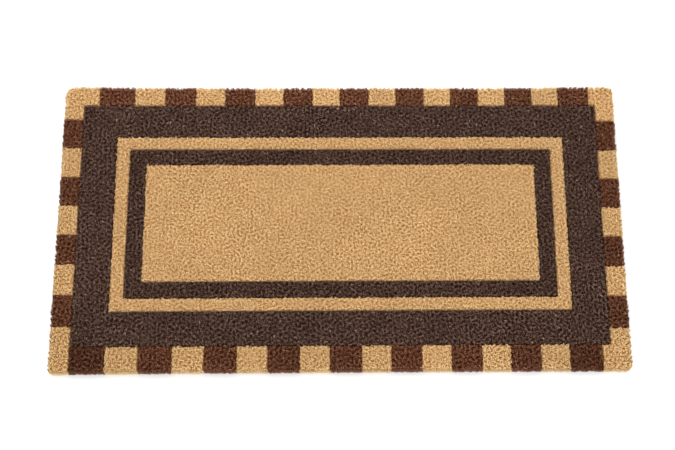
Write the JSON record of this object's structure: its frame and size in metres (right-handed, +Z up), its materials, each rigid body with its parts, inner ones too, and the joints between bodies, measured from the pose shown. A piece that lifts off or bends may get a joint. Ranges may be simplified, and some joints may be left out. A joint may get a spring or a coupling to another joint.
{
  "type": "door mat",
  "caption": "Rectangular coir door mat with nested borders, a checked edge and a thin vinyl backing sheet.",
  "frame": {"origin": "middle of the underside, on the floor", "axes": "+X along the mat's length, +Y from the front edge to the back edge, +Z up through the pile"},
  "size_m": [0.75, 0.4, 0.015],
  "materials": {
    "tan_coir": "undyed golden tan coir pile, matte",
    "red_brown_coir": "coir pile dyed red-brown, matte",
    "charcoal_coir": "coir pile dyed warm charcoal, matte",
    "dark_brown_coir": "coir pile dyed dark brown, matte",
    "backing_vinyl": "dark embossed vinyl, slightly soft, matte"
  },
  "bodies": {
    "root": {"back_check_01_brown": "red_brown_coir", "back_check_02_tan": "tan_coir", "back_check_03_brown": "red_brown_coir", "back_check_04_tan": "tan_coir", "back_check_05_brown": "red_brown_coir", "back_check_06_tan": "tan_coir", "back_check_07_brown": "red_brown_coir", "back_check_08_tan": "tan_coir", "back_check_09_brown": "red_brown_coir", "back_check_10_tan": "tan_coir", "back_check_11_brown": "red_brown_coir", "back_check_12_tan": "tan_coir", "back_check_13_brown": "red_brown_coir", "back_check_14_tan": "tan_coir", "back_check_15_brown": "red_brown_coir", "back_check_16_tan": "tan_coir", "back_check_17_brown": "red_brown_coir", "back_left_corner_block": "tan_coir", "back_right_corner_block": "tan_coir", "backing_sheet": "backing_vinyl", "centre_field": "tan_coir", "charcoal_border_ring": "charcoal_coir", "dark_stripe_ring": "dark_brown_coir", "front_check_01_brown": "red_brown_coir", "front_check_02_tan": "tan_coir", "front_check_03_brown": "red_brown_coir", "front_check_04_tan": "tan_coir", "front_check_05_brown": "red_brown_coir", "front_check_06_tan": "tan_coir", "front_check_07_brown": "red_brown_coir", "front_check_08_tan": "tan_coir", "front_check_09_brown": "red_brown_coir", "front_check_10_tan": "tan_coir", "front_check_11_brown": "red_brown_coir", "front_check_12_tan": "tan_coir", "front_check_13_brown": "red_brown_coir", "front_check_14_tan": "tan_coir", "front_check_15_brown": "red_brown_coir", "front_check_16_tan": "tan_coir", "front_check_17_brown": "red_brown_coir", "front_left_corner_block": "tan_coir", "front_right_corner_block": "tan_coir", "left_check_01_brown": "red_brown_coir", "left_check_02_tan": "tan_coir", "left_check_03_brown": "red_brown_coir", "left_check_04_tan": "tan_coir", "left_check_05_brown": "red_brown_coir", "left_check_06_tan": "tan_coir", "left_check_07_brown": "red_brown_coir", "right_check_01_brown": "red_brown_coir", "right_check_02_tan": "tan_coir", "right_check_03_brown": "red_brown_coir", "right_check_04_tan": "tan_coir", "right_check_05_brown": "red_brown_coir", "right_check_06_tan": "tan_coir", "right_check_07_brown": "red_brown_coir", "tan_stripe_ring": "tan_coir"}
  },
  "joints": []
}
